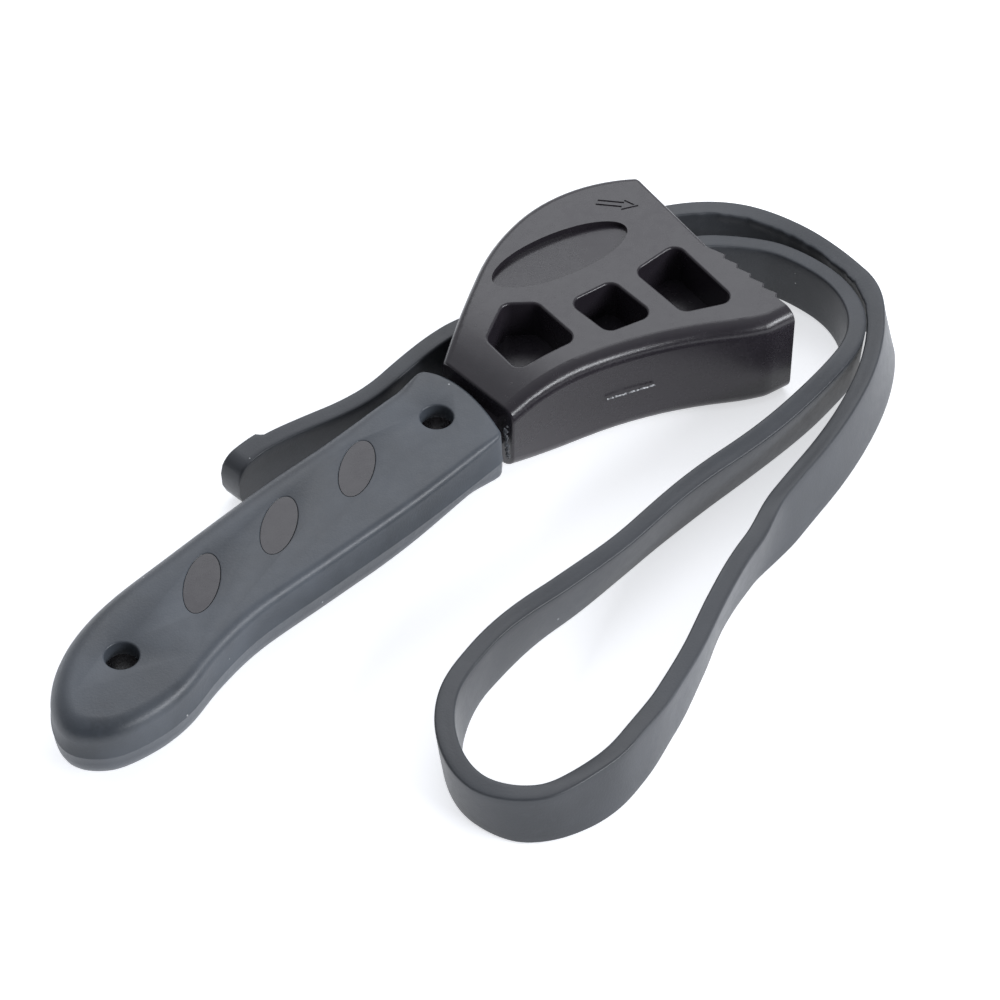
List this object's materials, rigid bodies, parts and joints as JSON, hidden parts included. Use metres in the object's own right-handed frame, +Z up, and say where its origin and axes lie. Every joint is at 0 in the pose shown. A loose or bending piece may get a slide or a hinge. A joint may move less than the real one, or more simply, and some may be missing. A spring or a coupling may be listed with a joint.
{
  "type": "oil filter wrench",
  "caption": "Rubber strap oil filter wrench: flat plastic head with weight-saving pockets, overmoulded grip handle with hang holes and an adjustable rubber strap loop.",
  "frame": {"origin": "middle of the wrench's own footprint (the free strap left out), on the surface that it lies on", "axes": "+X along the wrench towards its head, +Y towards the head's curved back, +Z up across its thickness"},
  "size_m": [0.2512, 0.1369, 0.0282],
  "materials": {
    "head_plastic": "moulded glass-filled nylon, black, satin",
    "grip_rubber": "overmoulded soft rubber, blue-black, matt",
    "strap_rubber": "moulded solid rubber, dark grey, satin",
    "pin_steel": "ground steel"
  },
  "bodies": {
    "wrench": {"head_core": "head_plastic", "grip": "grip_rubber", "anchor_pin": "pin_steel"},
    "loop": {"strap_eye": "strap_rubber", "strap_loop": "strap_rubber"},
    "slot_run": {"strap_slot_run": "strap_rubber"},
    "tail": {"strap_tail": "strap_rubber", "pull_pad": "strap_rubber"}
  },
  "joints": [
    {"name": "loop_swing", "type": "hinge", "parent": "wrench", "child": "loop", "pos_m": [0.10125, 0.02176, 0.014], "axis": [0, 0, 1], "range_deg": [-3, 3]},
    {"name": "strap_pull", "type": "slide", "parent": "wrench", "child": "slot_run", "axis": [-0.9444, 0.3288, 0], "range_m": [0, 0.04]},
    {"name": "tail_flex", "type": "hinge", "parent": "slot_run", "child": "tail", "pos_m": [0.04775, 0.02561, 0.014], "axis": [0, 0, 1], "range_deg": [-50, 2], "stiffness_Nm_per_rad": 0.02}
  ]
}
